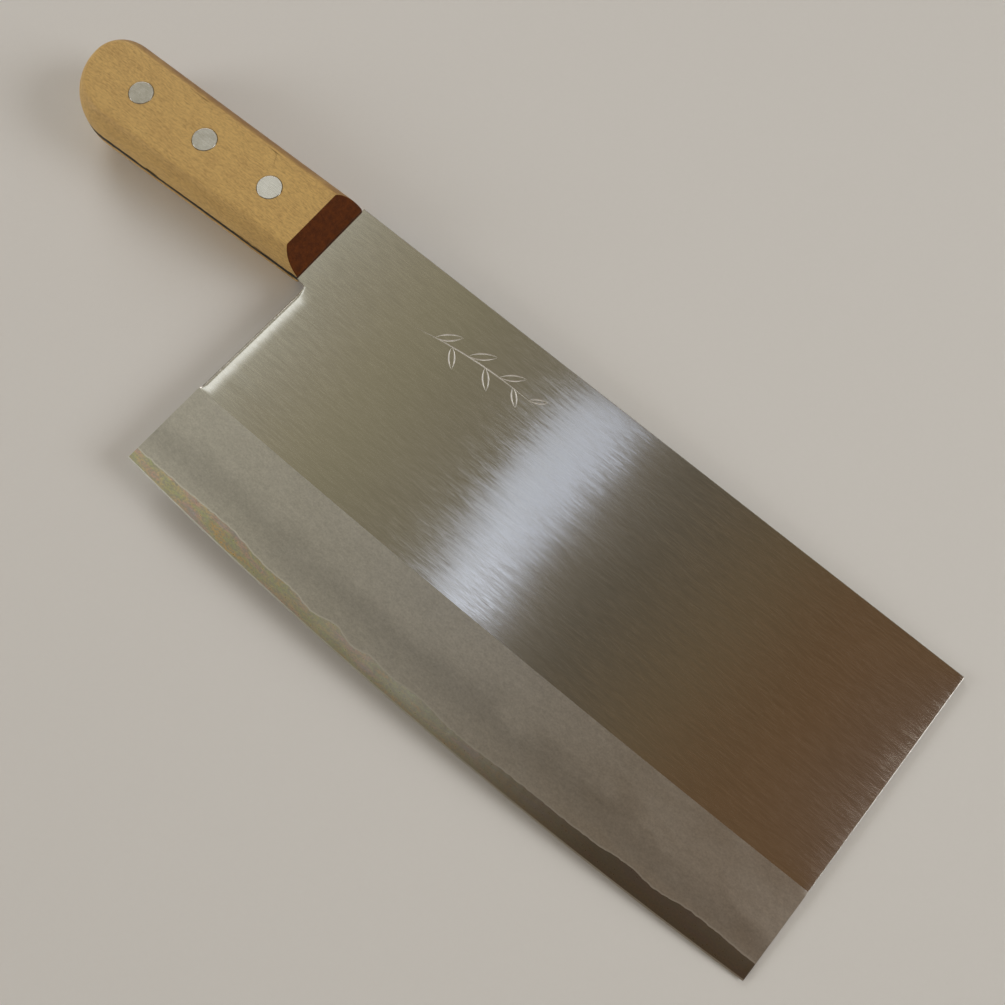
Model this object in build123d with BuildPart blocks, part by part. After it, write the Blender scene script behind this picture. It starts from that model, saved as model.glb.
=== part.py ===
from build123d import *
from math import acos, atan2, cos, hypot, radians, sin
import os

# Rectangular vegetable cleaver with a laminated blade, a full tang and a riveted wooden handle.
# It lies on its left side: +X runs from the handle to the tip, +Y from the cutting edge to the
# spine, and +Z out of the right side. The origin is below the middle of the bounding box.

# Blade outline
blade_length = 225.0           # spine, from the handle to the tip
middle_depth = 108.1           # spine to cutting edge, halfway along the blade
heel_depth = 104.9             # spine to cutting edge, at the heel
tip_depth = 103.1              # spine to cutting edge, at the tip
choil_top_setback = 3.9        # handle front to blade back, beside the handle
choil_bottom_setback = 1.2     # handle front to blade back, at the heel corner
neck_drop = 0.5                # how far the neck drops between the handle and the blade back
neck_radius = 1.2

# Blade section
tang_thickness = 2.2           # the tang, and the spine beside the handle
tip_thickness = 1.7            # the spine at the tip
core_thickness = 0.4           # hard steel between the two claddings
spine_chamfer = 0.25
grind_line_depth_heel = 75.8   # spine to the line where the wide bevel starts
grind_line_depth_middle = 76.2
grind_line_depth_tip = 74.3
shoulder_thickness = 0.3       # blade thickness where the cutting bevel starts
cutting_bevel_width = 0.45
choil_round_width = 2.8        # how far the rounded back of the blade runs in over each face
choil_land = 0.08              # cladding left upright at the back of the blade
lamination_line = (            # share of the blade's length, and height of the bare core there
    (0.0, 3.7),
    (0.1, 4.9),
    (0.17, 5.8),
    (0.24, 4.6),
    (0.29, 4.9),
    (0.325, 3.9),
    (0.36, 5.6),
    (0.39, 4.1),
    (0.42, 5.5),
    (0.455, 4.8),
    (0.5, 5.6),
    (0.56, 4.6),
    (0.66, 5.2),
    (0.77, 5.2),
    (0.82, 6.0),
    (0.86, 5.3),
    (0.91, 6.3),
    (1.0, 5.4),
)

# Handle outline, with depths measured from the spine
handle_length = 101.0
handle_thickness = 20.0
handle_front_depth = 0.9
handle_front_width = 29.9
butt_depth = 15.0              # depth of the point of the butt that is furthest back
butt_spine_side_radius = 11.8
butt_edge_side_radius = 19.7

# Handle scales
scale_rim_radius = 4.2         # rounding of the sides into the flat outer face
facet_run = 5.6                # length of the sloping front facet along the handle
facet_land = 0.8               # upright step below the facet

# Press rivets, each a stud pressed into a sleeve
rivet_head_diameter = 7.9
rivet_head_thickness = 2.4
rivet_barrel_diameter = 5.0
rivet_pin_diameter = 3.0
rivet_collar_length = 3.2      # full-width part of the stud below its head
rivet_head_rim = 0.15
rivet_front_distance = 22.7    # handle front to the first rivet
rivet_pitch = 26.5
rivet_front_depth = 16.4
rivet_depth_step = 0.85        # each rivet lies this much deeper than the one in front of it
head_clearance = 0.08          # radial, head in its counterbore
barrel_clearance = 0.06        # radial, barrel and collar in the drilled handle
pin_clearance = 0.02           # radial, pin in its sleeve
pin_end_gap = 0.6
barrel_end_gap = 0.4

def through_three(heel, middle, tip, share):
    """Value at a share of the blade's length, on the parabola through three values."""
    curve = 2 * (heel - 2 * middle + tip)
    slope = tip - heel - curve
    return heel + slope * share + curve * share**2


# Places
overall_length = blade_length + handle_length
front_x = handle_length - overall_length / 2
butt_x = front_x - handle_length
tip_x = front_x + blade_length
edge_curve = 2 * (heel_depth - 2 * middle_depth + tip_depth)
belly_share = (edge_curve + heel_depth - tip_depth) / (2 * edge_curve)
belly_depth = through_three(heel_depth, middle_depth, tip_depth, belly_share)
spine_y = belly_depth / 2
middle_z = handle_thickness / 2
core_top_z = middle_z + core_thickness / 2
tang_top_z = middle_z + tang_thickness / 2
scale_thickness = handle_thickness / 2 - tang_thickness / 2
cladding_thickness = (tang_thickness - core_thickness) / 2


def edge_y(share):
    return spine_y - through_three(heel_depth, middle_depth, tip_depth, share)


def grind_line_y(share):
    depth = through_three(grind_line_depth_heel, grind_line_depth_middle, grind_line_depth_tip, share)
    return spine_y - depth


def tangent_point(centre, radius, outside, side):
    """Where a line from an outside point touches a circle, on the +1 or -1 side."""
    across = outside[0] - centre[0]
    up = outside[1] - centre[1]
    angle = atan2(up, across) + side * acos(radius / hypot(across, up))
    return (centre[0] + radius * cos(angle), centre[1] + radius * sin(angle))


cutter_margin = 5              # how far cutting shapes reach past what they cut

# Outline shared by the tang and both scales
front_top = (front_x, spine_y - handle_front_depth)
front_bottom = (front_x, front_top[1] - handle_front_width)
butt_end = (butt_x, spine_y - butt_depth)
spine_side_centre = (butt_x + butt_spine_side_radius, butt_end[1])
edge_side_centre = (butt_x + butt_edge_side_radius, butt_end[1])
spine_side_touch = tangent_point(spine_side_centre, butt_spine_side_radius, front_top, 1)
edge_side_touch = tangent_point(edge_side_centre, butt_edge_side_radius, front_bottom, -1)
with BuildSketch() as handle_outline:
    with BuildLine():
        Line(front_bottom, front_top)
        Line(front_top, spine_side_touch)
        RadiusArc(spine_side_touch, butt_end, -butt_spine_side_radius)
        RadiusArc(butt_end, edge_side_touch, -butt_edge_side_radius)
        Line(edge_side_touch, front_bottom)
    make_face()

# Space behind the heel, cut from the back of the blade
choil_top = (front_x + choil_top_setback, front_bottom[1] - neck_drop)
heel_corner = (front_x + choil_bottom_setback, spine_y - heel_depth)
choil_slope = (choil_top[0] - heel_corner[0]) / (choil_top[1] - heel_corner[1])
below_edge = spine_y - belly_depth - cutter_margin
choil_foot = (heel_corner[0] - choil_slope * (heel_corner[1] - below_edge), below_edge)
with BuildSketch() as heel_space:
    with BuildLine():
        Polyline(
            front_bottom,
            choil_top,
            choil_foot,
            (front_x - cutter_margin, below_edge),
            (front_x - cutter_margin, front_bottom[1]),
            close=True,
        )
    make_face()
    fillet(heel_space.vertices().sort_by_distance(choil_top)[0], neck_radius)

# Rounded stretch of the blade's back, seen along that back from the grind line upwards
choil_end_x = choil_top[0] - choil_slope * (choil_top[1] - grind_line_y(0))
choil_round_length = (choil_top[1] - grind_line_y(0)) * hypot(1, choil_slope)
choil_plane = Plane(
    (choil_end_x, grind_line_y(0), core_top_z),
    x_dir=(-1, choil_slope, 0),
    z_dir=(choil_slope, 1, 0),
)

# Rivet places, from the front of the handle to the butt
rivet_names = ("front", "middle", "rear")
rivet_places = []
for number in range(len(rivet_names)):
    rivet_x = front_x - rivet_front_distance - number * rivet_pitch
    rivet_y = spine_y - rivet_front_depth - number * rivet_depth_step
    rivet_places.append((rivet_x, rivet_y))

# Blade and tang before they are divided into core and claddings
with BuildPart() as billet:
    for share in (0, 0.5, 1):
        half_spine = (tang_thickness + (tip_thickness - tang_thickness) * share) / 2
        section_plane = Plane((front_x + blade_length * share, 0, middle_z), x_dir=(0, 1, 0), z_dir=(1, 0, 0))
        with BuildSketch(section_plane):
            with BuildLine():
                Polyline(
                    (spine_y, half_spine - spine_chamfer),
                    (spine_y - spine_chamfer, half_spine),
                    (grind_line_y(share), half_spine),
                    (edge_y(share) + cutting_bevel_width, shoulder_thickness / 2),
                    (edge_y(share), 0),
                    (edge_y(share) + cutting_bevel_width, -shoulder_thickness / 2),
                    (grind_line_y(share), -half_spine),
                    (spine_y - spine_chamfer, -half_spine),
                    (spine_y, spine_chamfer - half_spine),
                    close=True,
                )
            make_face()
    loft()
    with BuildSketch():
        add(heel_space.sketch)
    extrude(amount=handle_thickness, mode=Mode.SUBTRACT)
    with BuildSketch(Plane.XY.offset(middle_z - tang_thickness / 2)):
        add(handle_outline.sketch)
    extrude(amount=tang_thickness)
    with Locations([(x, y, middle_z) for x, y in rivet_places]):
        Hole(rivet_barrel_diameter / 2 + barrel_clearance)

# Core: the middle layer of the billet, bare along the cutting edge
with BuildPart() as core_steel:
    add(billet.part)
    split(bisect_by=Plane.XY.offset(core_top_z), keep=Keep.BOTTOM)
    split(bisect_by=Plane.XY.offset(core_top_z - core_thickness), keep=Keep.TOP)
core_steel.part.label = "core_steel"

# Right cladding: the outer layer, ground away along the edge in a wavering line
lamination_points = []
for share, height in lamination_line:
    lamination_points.append((front_x + blade_length * share, edge_y(share) + height))
with BuildPart() as right_cladding:
    add(billet.part)
    split(bisect_by=Plane.XY.offset(core_top_z), keep=Keep.TOP)
    with BuildSketch(Plane.XY.offset(core_top_z)):
        with BuildLine():
            Spline(*lamination_points)
            Polyline(lamination_points[-1], (tip_x, below_edge), (front_x, below_edge), lamination_points[0])
        make_face()
    extrude(amount=tang_thickness, mode=Mode.SUBTRACT)
    # The back of the blade is rounded over from the neck down to the grind line
    with BuildSketch(choil_plane):
        with BuildLine():
            TangentArc((-choil_round_width, cladding_thickness), (0, choil_land), tangent=(1, 0))
            Polyline(
                (0, choil_land),
                (cutter_margin, choil_land),
                (cutter_margin, tang_thickness),
                (-choil_round_width, tang_thickness),
                (-choil_round_width, cladding_thickness),
            )
        make_face()
    extrude(amount=choil_round_length, mode=Mode.SUBTRACT)
right_cladding.part.label = "right_cladding"

with BuildPart() as left_cladding:
    add(right_cladding.part)
    mirror(about=Plane.XY.offset(middle_z), mode=Mode.REPLACE)
left_cladding.part.label = "left_cladding"

# Right scale: rounded sides and butt, and a sloping facet at the front
with BuildPart() as right_scale:
    with BuildSketch(Plane.XY.offset(tang_top_z)):
        add(handle_outline.sketch)
    extrude(amount=scale_thickness)
    rim = right_scale.faces().sort_by(Axis.Z)[-1].edges()
    fillet(rim.sort_by(Axis.X)[:-1], scale_rim_radius)
    with BuildSketch(Plane.XZ):
        with BuildLine():
            Polyline(
                (front_x + cutter_margin, tang_top_z + facet_land),
                (front_x, tang_top_z + facet_land),
                (front_x - facet_run, handle_thickness),
                (front_x - facet_run, handle_thickness + cutter_margin),
                (front_x + cutter_margin, handle_thickness + cutter_margin),
                close=True,
            )
        make_face()
    extrude(amount=belly_depth, both=True, mode=Mode.SUBTRACT)
    with Locations([(x, y, handle_thickness) for x, y in rivet_places]):
        CounterBoreHole(
            radius=rivet_barrel_diameter / 2 + barrel_clearance,
            counter_bore_radius=rivet_head_diameter / 2 + head_clearance,
            counter_bore_depth=rivet_head_thickness,
        )
right_scale.part.label = "right_scale"

with BuildPart() as left_scale:
    add(right_scale.part)
    mirror(about=Plane.XY.offset(middle_z), mode=Mode.REPLACE)
left_scale.part.label = "left_scale"

# Rivets: the stud's head is on the right, the sleeve's on the left
right_seat_z = handle_thickness - rivet_head_thickness
collar_end_z = right_seat_z - rivet_collar_length
barrel_end_z = collar_end_z - barrel_end_gap
pin_end_z = rivet_head_thickness + pin_end_gap
finished = [core_steel.part, right_cladding.part, left_cladding.part, right_scale.part, left_scale.part]
for name, (rivet_x, rivet_y) in zip(rivet_names, rivet_places):
    with BuildPart() as rivet_stud:
        with BuildSketch(Plane((rivet_x, rivet_y, right_seat_z))):
            Circle(rivet_head_diameter / 2)
        extrude(amount=rivet_head_thickness)
        fillet(rivet_stud.edges().sort_by(Axis.Z)[-1], rivet_head_rim)
        with BuildSketch(Plane((rivet_x, rivet_y, collar_end_z))):
            Circle(rivet_barrel_diameter / 2)
        extrude(amount=rivet_collar_length)
        with BuildSketch(Plane((rivet_x, rivet_y, pin_end_z))):
            Circle(rivet_pin_diameter / 2)
        extrude(amount=collar_end_z - pin_end_z)
    rivet_stud.part.label = "rivet_stud_" + name
    with BuildPart() as rivet_sleeve:
        with BuildSketch(Plane((rivet_x, rivet_y, 0))):
            Circle(rivet_head_diameter / 2)
        extrude(amount=rivet_head_thickness)
        fillet(rivet_sleeve.edges().sort_by(Axis.Z)[0], rivet_head_rim)
        with BuildSketch(Plane((rivet_x, rivet_y, rivet_head_thickness))):
            Circle(rivet_barrel_diameter / 2)
            Circle(rivet_pin_diameter / 2 + pin_clearance, mode=Mode.SUBTRACT)
        extrude(amount=barrel_end_z - rivet_head_thickness)
    rivet_sleeve.part.label = "rivet_sleeve_" + name
    finished.append(rivet_stud.part)
    finished.append(rivet_sleeve.part)

os.makedirs("parts", exist_ok=True)
for piece in finished:
    export_step(piece, "parts/" + piece.label + ".step")
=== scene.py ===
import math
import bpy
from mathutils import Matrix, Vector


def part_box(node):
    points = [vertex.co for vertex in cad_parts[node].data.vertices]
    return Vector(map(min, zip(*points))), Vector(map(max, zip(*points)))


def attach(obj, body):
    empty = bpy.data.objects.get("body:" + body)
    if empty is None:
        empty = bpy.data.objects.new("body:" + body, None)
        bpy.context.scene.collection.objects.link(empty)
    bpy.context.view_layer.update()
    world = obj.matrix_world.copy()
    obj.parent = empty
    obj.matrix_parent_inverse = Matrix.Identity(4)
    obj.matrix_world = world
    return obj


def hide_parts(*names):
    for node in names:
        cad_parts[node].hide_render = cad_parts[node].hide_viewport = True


bl_info = {
    "name": "Vegetable cleaver",
    "version": (1, 0, 0),
    "blender": (4, 5, 0),
    "location": "View3D > Sidebar > Cleaver",
    "description": "Laminated blade, riveted wooden handle and studio around the packed frame",
    "category": "Object",
}

import bmesh
import bpy
from bpy.props import FloatProperty, FloatVectorProperty, PointerProperty
from mathutils import Quaternion, Vector, noise
from mathutils.geometry import delaunay_2d_cdt

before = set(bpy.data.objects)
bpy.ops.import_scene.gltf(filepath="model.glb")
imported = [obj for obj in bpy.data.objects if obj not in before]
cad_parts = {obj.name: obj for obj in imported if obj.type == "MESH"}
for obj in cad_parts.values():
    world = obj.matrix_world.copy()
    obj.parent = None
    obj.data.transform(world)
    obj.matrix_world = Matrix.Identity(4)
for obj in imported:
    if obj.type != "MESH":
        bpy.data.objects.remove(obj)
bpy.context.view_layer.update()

# Outlines are worked out in millimetres, and meshes are made in metres
MM = 0.001
TINY = 1e-6

# Steps along outlines, in millimetres
EDGE_STEP = 0.8
SPINE_STEP = 3.0
TIP_STEP = 2.5
BACK_STEP = 1.0
STROKE_STEP = 0.8

# Steps round curves and along the handle: counts, and angles in radians
CIRCLE_STEPS = 40
BUTT_STEPS = 26
HANDLE_STEPS = 40
FACET_STEPS = 16
BOWL_STEPS = 96
NECK_STEP = math.radians(12)
SIDE_STEP = math.radians(6)
SIDE_TURN = math.radians(66)
SHARP_ANGLE = math.radians(35)
SOFT_ANGLE = math.radians(40)

# Rounds that settle where a curve meets the blade's back
MEETING_ROUNDS = 8

# Shares of a rounding's width where its surface gets a line
QUARTER_TURN = (1.0, 0.5, 0.134)
CHOIL_TURN = (1.0, 0.8, 0.6, 0.4, 0.24)

# Small fixed sizes in millimetres, and where the lamination line's raggedness starts
NECK_DROP = 0.5
RAGGED_LENGTH = 1.7
RAGGED_HEIGHT = 0.3
RAGGED_START = 3.7
TIP_ROUND = 0.12
CHOIL_RUN_OUT = 1.0
CHOIL_RUN_IN = 5.0
CORE_SHEET = 0.2
BURY_RUN = 0.3
FRONT_STEP = 0.05
LAYER_GAP = 0.004
SOFT_EDGE = 0.2

# Corners closer than this are one, in millimetres and in metres, and triangles smaller than this go
MERGE = 1e-4
WELD = 1e-6
SLIVER = 1e-7

# Material places in the meshes
CORE, CUTTING, TANG, CORE_WALL = range(4)
FLAT, BEVEL, SEAM, CUT, WALL = range(5)
WOOD, FACET = range(2)

RIVETS = ("front", "middle", "rear")

# Darker band along the wide bevel: millimetres from the spine, of wander and of fade, and its tone
DARK_BAND_DEPTH = 93.8
DARK_BAND_WANDER = 2.5
DARK_BAND_RUN = 8.0
DARK_BAND_TONE = 0.85

# Stretches of the blade where a colour fades or darkens, in millimetres from the handle's front
SEAM_FADES = (60, 150)
HEAT_FADES = (30, 150)
CORE_DARKENS = (120, 175)

# Heat tints along the hard core: place in the noise, and colour
HEAT_TINTS = (
    (0.36, (0.78, 0.56, 0.27)),
    (0.44, (0.56, 0.62, 0.36)),
    (0.52, (0.72, 0.63, 0.37)),
    (0.60, (0.76, 0.52, 0.45)),
    (0.68, (0.56, 0.50, 0.55)),
)

# Where a noise starts, clear of its own grid, and how much a shift moves it along each axis
NOISE_START = (0.37, 0.71, 0.43)
NOISE_SHIFT = (1.0, 1.3, 0.7)

# Camera, in metres, degrees and the sensor's millimetres
CAMERA_AIM = (0.03173, 0.00956, 0.01)
CAMERA_DISTANCE = 0.3275
CAMERA_TURN = 38.069
CAMERA_RISE = 74.765
CAMERA_ROLL = 2.077
LENS = 40.35
SENSOR = 36.0

# Floor, in metres: its gap under the cleaver, and the bowl's radius and height outside its middle
FLOOR_GAP = 0.00005
BOWL = (
    (0.3, 0.0), (0.6, 0.0), (0.9, 0.01), (1.2, 0.06), (1.5, 0.17),
    (1.8, 0.36), (2.1, 0.68), (2.3, 1.1), (2.4, 1.6),
)

# Soft lights: name, place, target and size in metres, brightness of the face, tint, spread in degrees
LIGHTS = (
    ("strip", (-0.142, 0.53, 1.2), (-0.142, 0.53, 0.0), (0.110, 0.68), 0.72, (0.68, 0.78, 1.0), 180),
    ("strip_end", (-0.118, 0.12, 1.2), (-0.118, 0.12, 0.0), (0.088, 0.13), 1.40, (0.72, 0.81, 1.0), 180),
    ("left_front", (-1.25, -0.95, 0.55), (0.0, 0.0, 0.0), (0.7, 0.7), 1.0, (1.0, 0.98, 0.95), 90),
    ("left_back", (-1.20, 0.80, 0.70), (0.0, 0.0, 0.0), (0.7, 0.7), 0.8, (1.0, 0.98, 0.95), 90),
    ("right_back", (1.20, 0.60, 0.90), (-0.1, 0.0, 0.0), (0.8, 0.7), 1.3, (1.0, 0.99, 0.97), 90),
)

# The room's tint by direction along X, with both ends first
ROOM_TINTS = (
    (-1.0, (0.40, 0.39, 0.37)),
    (1.0, (0.20, 0.19, 0.18)),
    (-0.70, (0.44, 0.41, 0.33)),
    (-0.57, (0.42, 0.39, 0.30)),
    (-0.52, (0.34, 0.31, 0.23)),
    (-0.50, (0.56, 0.54, 0.46)),
    (-0.48, (1.25, 1.25, 1.17)),
    (-0.455, (1.35, 1.35, 1.27)),
    (-0.44, (0.78, 0.76, 0.67)),
    (-0.42, (0.47, 0.45, 0.36)),
    (-0.40, (0.40, 0.37, 0.28)),
    (-0.37, (0.355, 0.32, 0.235)),
    (-0.33, (0.335, 0.30, 0.205)),
    (-0.29, (0.30, 0.27, 0.18)),
    (-0.24, (0.26, 0.23, 0.16)),
    (-0.10, (0.22, 0.19, 0.145)),
    (-0.045, (0.135, 0.115, 0.085)),
    (0.06, (0.160, 0.115, 0.066)),
    (0.12, (0.158, 0.096, 0.050)),
    (0.24, (0.165, 0.098, 0.052)),
    (0.5, (0.16, 0.10, 0.065)),
)

# Share of the blade's length, and height of the bare core there in millimetres
LAMINATION_LINE = (
    (0.0, 3.7), (0.1, 4.9), (0.17, 5.8), (0.24, 4.6), (0.29, 4.9), (0.325, 3.9),
    (0.36, 5.6), (0.39, 4.1), (0.42, 5.5), (0.455, 4.8), (0.5, 5.6), (0.56, 4.6),
    (0.66, 5.2), (0.77, 5.2), (0.82, 6.0), (0.86, 5.3), (0.91, 6.3), (1.0, 5.4),
)

# Chisel strokes of the leaf sprig: start and end from the sprig's middle, and bend, in millimetres
SPRIG_STROKES = (
    ((-22.5, -2.4), (22.0, 1.6), 1.6),
    ((-15.5, -1.0), (-8.6, 4.6), 1.0),
    ((-9.5, 0.1), (-4.8, -5.6), 0.9),
    ((-3.8, 1.0), (3.4, 6.4), 1.0),
    ((2.4, 1.5), (7.6, -4.2), 0.9),
    ((7.8, 1.9), (14.4, 6.6), 0.9),
    ((12.8, 2.0), (17.6, -2.6), 0.75),
    ((19.0, 1.8), (24.2, 5.0), 0.6),
)


def at(node):
    """A CAD node's lowest and highest corners, in millimetres."""
    low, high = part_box(node)
    return low / MM, high / MM


CORE_LOW, CORE_HIGH = at("core_steel")
SCALE_LOW, SCALE_HIGH = at("right_scale")
FRONT_X = SCALE_HIGH.x
BUTT_X = CORE_LOW.x
TIP_X = CORE_HIGH.x
SPINE_Y = CORE_HIGH.y
MIDDLE_Z = (CORE_LOW.z + CORE_HIGH.z) / 2
TANG_HALF = SCALE_LOW.z - MIDDLE_Z
HANDLE_TOP = SCALE_HIGH.z - MIDDLE_Z


# ---- sizes and colours


def length(name, description, default):
    return FloatProperty(name=name, description=description, default=default, unit="LENGTH", precision=5)


def colour(name, description, default):
    return FloatVectorProperty(
        name=name, description=description, default=default, subtype="COLOR", size=3, min=0.0, max=1.0
    )


def share_of(name, description, default):
    return FloatProperty(
        name=name, description=description, default=default, subtype="FACTOR", min=0.0, max=1.0
    )


class CleaverBlade(bpy.types.PropertyGroup):
    heel_depth: length("Depth at heel", "Spine to cutting edge at the heel", 0.1049)
    middle_depth: length("Depth at middle", "Spine to cutting edge halfway along", 0.1081)
    tip_depth: length("Depth at tip", "Spine to cutting edge at the tip", 0.1031)
    grind_heel: length("Grind line at heel", "Spine to the top of the wide bevel at the heel", 0.0758)
    grind_middle: length("Grind line at middle", "The same, halfway along", 0.0762)
    grind_tip: length("Grind line at tip", "The same, at the tip", 0.0743)
    tip_thickness: length("Tip thickness", "Thickness of the spine at the tip", 0.0017)
    shoulder_thickness: length("Shoulder", "Thickness where the cutting bevel starts", 0.0003)
    cutting_bevel: length("Cutting bevel", "Width of the cutting bevel", 0.00045)
    choil_top: length("Back at neck", "Handle front to the blade's back beside the neck", 0.0039)
    choil_bottom: length("Back at heel", "Handle front to the blade's back at the heel", 0.0012)
    choil_round: length("Choil rounding", "Radius of the rounded back", 0.0006)
    choil_run: length("Choil easing", "How far each face eases down towards the back", 0.0055)
    choil_ease: length("Choil depth", "How far each face has eased down at the back", 0.00014)
    neck_radius: length("Neck radius", "Radius in the corner under the neck", 0.0012)
    seam_width: length("Seam width", "Pale line above the lamination line", 0.00045)
    sprig_along: length("Sprig along", "Handle front to the middle of the sprig", 0.0605)
    sprig_down: length("Sprig down", "Spine to the middle of the sprig", 0.0175)
    sprig_stroke: length("Sprig stroke", "Width of the chisel strokes", 0.00045)
    sprig_depth: length("Sprig depth", "Depth of the chisel strokes", 0.00012)
    spine_round: length("Spine rounding", "Radius broken on the spine's edges", 0.00025)
    flat_colour: colour("Flat", "Brushed steel above the grind line", (0.66, 0.65, 0.62))
    bevel_colour: colour("Bevel", "Matte steel of the wide bevel", (0.595, 0.58, 0.54))
    core_colour: colour("Core", "Bare hard steel along the edge", (0.52, 0.50, 0.43))
    # The tang's near-black colour is painted shade, standing in for the shadow and dark reflections between
    # the scales
    tang_colour: colour("Tang", "Dark steel along the handle", (0.014, 0.012, 0.011))
    hairline: share_of("Hairlines", "Strength of the lengthwise brushing", 0.5)


class CleaverHandle(bpy.types.PropertyGroup):
    rim_soft: length("Top rounding", "Narrow band that softens the rim of the flat face", 0.0004)
    rim: length("Side rounding", "How far the sides round in under the flat face", 0.0042)
    facet_run: length("Facet run", "Length of the sloping front facet", 0.0056)
    facet_land: length("Facet land", "Upright step below the facet", 0.0008)
    front_depth: length("Handle top", "How far the handle starts below the spine", 0.0009)
    front_width: length("Front width", "Width of the handle at its front", 0.0299)
    butt_depth: length("Butt depth", "Spine line to the point of the butt", 0.015)
    butt_spine_radius: length("Butt radius, spine side", "Rounding of the butt", 0.0118)
    butt_edge_radius: length("Butt radius, edge side", "Rounding of the butt", 0.0197)
    wood_light: colour("Light wood", "Paler growth of the scales", (0.74, 0.50, 0.180))
    wood_dark: colour("Dark wood", "Darker fleck and pore of the scales", (0.55, 0.345, 0.125))
    # The colour laid on the scale sides that face the spine is painted shade
    handled_wood: colour("Handled wood", "Browned wood along the spine side", (0.20, 0.085, 0.028))
    # End grain colour of the front facet, made darker still as painted shade
    end_grain: colour("End grain", "Sealed end grain of the front facet", (0.098, 0.024, 0.002))


class CleaverRivets(bpy.types.PropertyGroup):
    head: length("Head", "Diameter of the rivet heads", 0.0079)
    head_depth: length("Head depth", "How deep the heads sit", 0.0024)
    barrel: length("Barrel", "Diameter of the rivet barrels", 0.005)
    hole_gap: length("Hole gap", "Gap round each barrel in the tang", 0.00006)
    pocket_gap: length("Pocket gap", "Gap round each head and barrel in the wood", 0.00008)
    metal: colour("Rivet metal", "Ground rivet heads", (0.62, 0.61, 0.58))


class CleaverStage(bpy.types.PropertyGroup):
    floor: colour("Floor", "Plain floor and backdrop", (0.84, 0.84, 0.84))
    light: FloatProperty(name="Lights", description="Brightness of the soft lights", default=1.0, min=0.0)
    room: FloatProperty(name="Room", description="Brightness of the surrounding room", default=1.0, min=0.0)


def millimetres(group):
    """The group's lengths in millimetres, under the same names."""
    lengths = {}
    for prop in group.bl_rna.properties:
        if prop.type == "FLOAT" and prop.unit == "LENGTH" and not prop.is_array:
            lengths[prop.identifier] = getattr(group, prop.identifier) / MM
    return type("Lengths", (), lengths)


# ---- outlines and surfaces


def through_three(heel, middle, tip, share):
    """Value at a share of the blade's length, on the parabola through three values."""
    curve = 2 * (heel - 2 * middle + tip)
    slope = tip - heel - curve
    return heel + slope * share + curve * share**2


def smooth_through(points, share):
    """Value at a share, on a smooth curve through (share, value) points."""
    last = len(points) - 1
    start = max(i for i in range(last) if points[i][0] <= max(share, 0.0))
    span = points[start + 1][0] - points[start][0]
    t = (share - points[start][0]) / span

    def slope(i):
        low, high = max(i - 1, 0), min(i + 1, last)
        return (points[high][1] - points[low][1]) / (points[high][0] - points[low][0])

    a, b = points[start][1], points[start + 1][1]
    bend = (1 + 2 * t) * (1 - t) ** 2 * a + t * t * (3 - 2 * t) * b
    return bend + span * (t * (1 - t) ** 2 * slope(start) - t * t * (1 - t) * slope(start + 1))


def ease(value, start, end):
    """0 before start, 1 after end, and smooth between them."""
    t = min(1.0, max(0.0, (value - start) / (end - start)))
    return t * t * (3 - 2 * t)


def roll_off(distance, width, depth):
    """How far a face has fallen away where it eases down towards its edge."""
    return depth * (max(0.0, width - distance) / width) ** 2


def round_over(distance, width, depth):
    """How far a rounded edge has fallen away, at a distance in from the edge."""
    inside = max(0.0, width - distance)
    radius = (width**2 + depth**2) / (2 * depth)
    return radius - math.sqrt(max(0.0, radius**2 - min(inside, radius) ** 2))


def spread(start, end, step):
    """Evenly spaced values from start to end, no further apart than step."""
    count = max(1, math.ceil(abs(end - start) / step))
    return [start + (end - start) * i / count for i in range(count + 1)]


def ladder(stops, step):
    """Values through every stop, no further apart than step."""
    values = [stops[0]]
    for start, end in zip(stops, stops[1:]):
        values += spread(start, end, step)[1:]
    return values


def around(centre, radius, angle):
    """The place at an angle on a circle."""
    return centre + Vector((math.cos(angle), math.sin(angle))) * radius


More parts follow.
